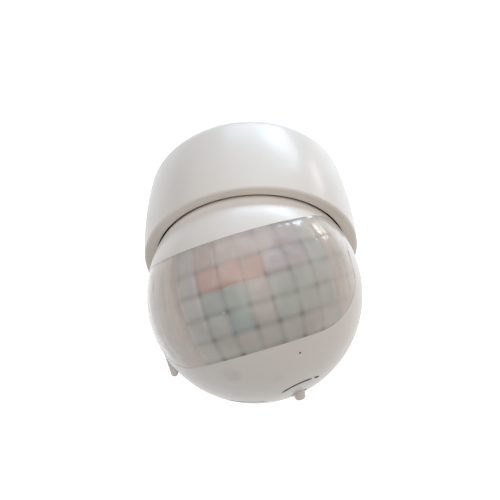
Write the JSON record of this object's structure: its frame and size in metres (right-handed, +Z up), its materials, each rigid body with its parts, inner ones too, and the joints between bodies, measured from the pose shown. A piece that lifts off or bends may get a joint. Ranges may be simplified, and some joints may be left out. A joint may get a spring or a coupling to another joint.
{
  "type": "wall motion detector",
  "caption": "White wall-mounted passive infrared motion detector: ball head with a faceted lens that swivels and tilts in a round cup, with two adjusting knobs.",
  "frame": {"origin": "centre of the wall plate's back face, on the cup's axis", "axes": "-Y along the cup's axis away from the wall, +Z up, +X to the right seen from the room; at rest the head is panned and tilted up as in the picture"},
  "size_m": [0.0798, 0.092, 0.0798],
  "materials": {
    "white_plastic": "semi-gloss moulded, white",
    "pale_plastic": "matte moulded, off-white",
    "lens_plastic": "milky translucent, pebbled by the facets",
    "steel": "zinc plated",
    "rubber": "matte",
    "brass": "plain",
    "board": "green solder mask",
    "dark_window": "dark filter",
    "dark_plastic": "matte",
    "can": "sleeved",
    "blue_plastic": "matte",
    "red_plastic": "clear red"
  },
  "bodies": {
    "base": {"base_housing": "white_plastic", "wall_plate": "pale_plastic", "lock_screw": "steel", "cable_grommet": "rubber", "terminal_block": "pale_plastic", "terminal_screws": "brass", "friction_ring": "rubber"},
    "carrier": {"pivot_bolt": "steel", "clamp_saddle": "steel", "spring_washer": "steel", "clamp_nut": "steel"},
    "head": {"front_shell": "white_plastic", "rear_shell": "white_plastic", "sensor_holder": "pale_plastic", "shell_screws": "steel", "board_screws": "steel", "pyro_sensor": "steel", "lens": "lens_plastic", "main_board": "board", "control_board": "board", "pyro_window": "dark_window", "relay": "dark_plastic", "capacitor": "can", "trimmers": "blue_plastic", "indicator_led": "red_plastic"},
    "light_knob": {"light_knob": "white_plastic"},
    "time_knob": {"time_knob": "white_plastic"}
  },
  "joints": [
    {"name": "pan", "type": "hinge", "parent": "base", "child": "carrier", "pos_m": [0, -0.054, 0], "axis": [0, -1, 0], "range_deg": [-160, 160]},
    {"name": "tilt", "type": "hinge", "parent": "carrier", "child": "head", "pos_m": [0, -0.054, 0], "axis": [0.9736, 0, 0.2284], "range_deg": [0, 60]},
    {"name": "light_turn", "type": "hinge", "parent": "head", "child": "light_knob", "pos_m": [0.013, -0.0909, -0.00818], "axis": [0.2354, -0.8376, -0.4929], "range_deg": [-130, 130]},
    {"name": "time_turn", "type": "hinge", "parent": "head", "child": "time_knob", "pos_m": [0.00175, -0.08161, -0.02935], "axis": [0.2354, -0.8376, -0.4929], "range_deg": [-130, 130]}
  ]
}
